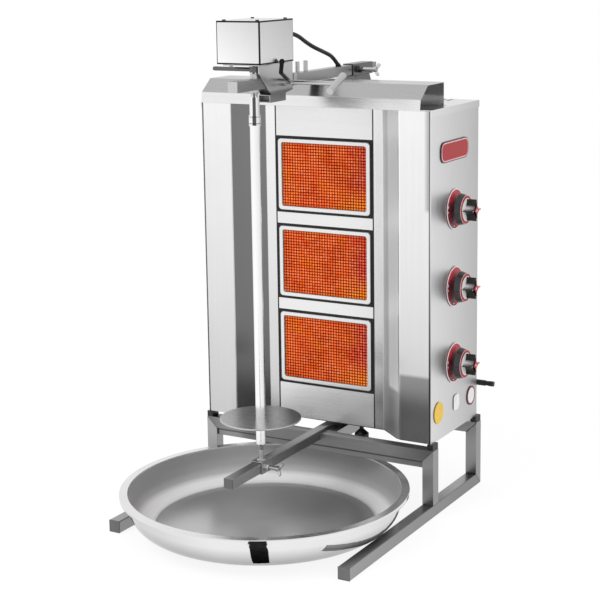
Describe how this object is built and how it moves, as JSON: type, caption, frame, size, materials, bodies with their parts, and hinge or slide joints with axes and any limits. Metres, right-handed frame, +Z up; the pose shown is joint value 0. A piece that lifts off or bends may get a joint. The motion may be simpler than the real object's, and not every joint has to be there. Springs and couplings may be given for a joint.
{
  "type": "gas doner kebab grill",
  "caption": "Upright gas grill: steel cabinet with radiant burners, a motor on a sliding arm turning a skewer with a meat disc, and a round drip pan on floor rails.",
  "frame": {"origin": "on the floor, under the middle of the whole machine's bounding box", "axes": "+Z up, +Y to the back of the cabinet, +X to the knobs' side"},
  "size_m": [0.5592, 0.7154, 0.9408],
  "materials": {
    "aluminium": "plain",
    "black_metal": "heat resistant matt",
    "black_plastic": "satin",
    "brass": "plain",
    "ceramic": "matte",
    "gear_steel": "machined",
    "pan_steel": "spun",
    "polished_steel": "polished",
    "red_metal": "gloss",
    "rubber": "matte",
    "sheet_steel": "brushed",
    "tube_steel": "brushed"
  },
  "bodies": {
    "frame": {"rail_left": "tube_steel", "front_leg_left": "tube_steel", "rear_leg_left": "tube_steel", "side_panel_left": "sheet_steel", "wing_left": "sheet_steel", "rail_right": "tube_steel", "front_leg_right": "tube_steel", "rear_leg_right": "tube_steel", "side_panel_right": "sheet_steel", "wing_right": "sheet_steel", "front_beam": "tube_steel", "rear_beam": "tube_steel", "arm_carrier": "tube_steel", "lower_arm": "tube_steel", "tube_plugs": "aluminium", "cabinet_feet": "tube_steel", "top_panel": "sheet_steel", "bottom_panel": "sheet_steel", "back_panel": "sheet_steel", "blank_panels": "sheet_steel", "burner_frame_1": "polished_steel", "burner_frame_2": "polished_steel", "burner_frame_3": "polished_steel", "burner_tiles": "ceramic", "burner_boxes": "black_metal", "gas_pipework": "brass", "gas_valves": "brass", "gas_inlet": "black_metal", "knob_bezels": "red_metal", "canopy": "sheet_steel", "arm_sleeve": "tube_steel"},
    "upper_arm": {"upper_arm": "tube_steel", "upper_arm_fittings": "aluminium", "motor_bracket": "tube_steel", "motor_case": "sheet_steel", "motor_cover": "sheet_steel", "case_screws": "polished_steel", "gear_motor": "aluminium", "cable_glands": "black_plastic", "motor_cable": "rubber", "return_spring": "polished_steel"},
    "drive_gear": {"drive_gear": "gear_steel"},
    "motor_pinion": {"motor_pinion": "gear_steel"},
    "release_handle": {"release_handle": "polished_steel"},
    "drive_shaft": {"drive_shaft": "polished_steel"},
    "coupling_muff": {"coupling_muff": "polished_steel"},
    "lower_slider": {"lower_slider": "tube_steel"},
    "skewer": {"skewer": "polished_steel", "meat_disc": "polished_steel"},
    "clamp_screw": {"clamp_screw": "polished_steel"},
    "wing_bolt_upper": {"wing_bolt_upper": "polished_steel"},
    "wing_bolt_lower": {"wing_bolt_lower": "polished_steel"},
    "rocker_switch": {"rocker_switch": "black_plastic"},
    "drip_pan": {"drip_pan": "pan_steel"},
    "valve_spindle_1": {"valve_spindle_1": "brass"},
    "knob_1": {"knob_1": "black_plastic"},
    "valve_spindle_2": {"valve_spindle_2": "brass"},
    "knob_2": {"knob_2": "black_plastic"},
    "valve_spindle_3": {"valve_spindle_3": "brass"},
    "knob_3": {"knob_3": "black_plastic"}
  },
  "joints": [
    {"name": "upper_arm_slide", "type": "slide", "parent": "frame", "child": "upper_arm", "axis": [0, 1, 0], "range_m": [-0.04, 0.02]},
    {"name": "lower_slider_slide", "type": "slide", "parent": "frame", "child": "lower_slider", "axis": [0, 1, 0], "range_m": [-0.04, 0.02]},
    {"name": "drive_gear_spin", "type": "hinge", "parent": "upper_arm", "child": "drive_gear", "pos_m": [-0.0116, -0.09875, 0.8734], "axis": [0, 0, 1], "continuous": true},
    {"name": "motor_pinion_spin", "type": "hinge", "parent": "upper_arm", "child": "motor_pinion", "pos_m": [-0.0116, -0.06875, 0.8734], "axis": [0, 0, 1], "continuous": true},
    {"name": "release_handle_lift", "type": "slide", "parent": "upper_arm", "child": "release_handle", "axis": [0, 0, 1], "range_m": [0, 0.004], "stiffness_N_per_m": 1500, "springref_m": -0.004, "deforming": ["return_spring"]},
    {"name": "drive_shaft_spin", "type": "hinge", "parent": "release_handle", "child": "drive_shaft", "pos_m": [-0.0116, -0.09875, 0.7632], "axis": [0, 0, 1], "continuous": true},
    {"name": "coupling_muff_slide", "type": "slide", "parent": "drive_shaft", "child": "coupling_muff", "axis": [0, 0, 1], "range_m": [0, 0.014]},
    {"name": "skewer_spin", "type": "hinge", "parent": "lower_slider", "child": "skewer", "pos_m": [-0.0116, -0.09875, 0.156], "axis": [0, 0, 1], "continuous": true},
    {"name": "clamp_screw_turn", "type": "hinge", "parent": "upper_arm", "child": "clamp_screw", "pos_m": [0.0534, -0.03475, 0.8265], "axis": [1, 0, 0], "range_deg": [-15, 60]},
    {"name": "wing_bolt_upper_turn", "type": "hinge", "parent": "frame", "child": "wing_bolt_upper", "pos_m": [0.0184, 0.27825, 0.8265], "axis": [1, 0, 0], "range_deg": [0, 360]},
    {"name": "wing_bolt_lower_turn", "type": "hinge", "parent": "lower_slider", "child": "wing_bolt_lower", "pos_m": [0.0134, -0.10375, 0.1275], "axis": [1, 0, 0], "range_deg": [0, 360]},
    {"name": "rocker_switch_rock", "type": "hinge", "parent": "upper_arm", "child": "rocker_switch", "pos_m": [-0.0528, -0.12975, 0.913], "axis": [0, 1, 0], "range_deg": [0, 12]},
    {"name": "drip_pan_slide", "type": "slide", "parent": "frame", "child": "drip_pan", "axis": [0, -1, 0], "range_m": [0, 0.55]},
    {"name": "knob_1_push", "type": "slide", "parent": "frame", "child": "valve_spindle_1", "axis": [-1, 0, 0], "range_m": [0, 0.003], "stiffness_N_per_m": 800, "springref_m": -0.004},
    {"name": "knob_1_turn", "type": "hinge", "parent": "valve_spindle_1", "child": "knob_1", "pos_m": [0.2471, 0.21225, 0.575], "axis": [1, 0, 0], "range_deg": [0, 180]},
    {"name": "knob_2_push", "type": "slide", "parent": "frame", "child": "valve_spindle_2", "axis": [-1, 0, 0], "range_m": [0, 0.003], "stiffness_N_per_m": 800, "springref_m": -0.004},
    {"name": "knob_2_turn", "type": "hinge", "parent": "valve_spindle_2", "child": "knob_2", "pos_m": [0.2471, 0.21225, 0.426], "axis": [1, 0, 0], "range_deg": [0, 180]},
    {"name": "knob_3_push", "type": "slide", "parent": "frame", "child": "valve_spindle_3", "axis": [-1, 0, 0], "range_m": [0, 0.003], "stiffness_N_per_m": 800, "springref_m": -0.004},
    {"name": "knob_3_turn", "type": "hinge", "parent": "valve_spindle_3", "child": "knob_3", "pos_m": [0.2471, 0.21225, 0.277], "axis": [1, 0, 0], "range_deg": [0, 180]}
  ],
  "couplings": [
    {"joint": "lower_slider_slide", "follows": "upper_arm_slide", "ratio": 1},
    {"joint": "motor_pinion_spin", "follows": "skewer_spin", "ratio": -4},
    {"joint": "drive_gear_spin", "follows": "skewer_spin", "ratio": 1},
    {"joint": "drive_shaft_spin", "follows": "skewer_spin", "ratio": 1}
  ]
}
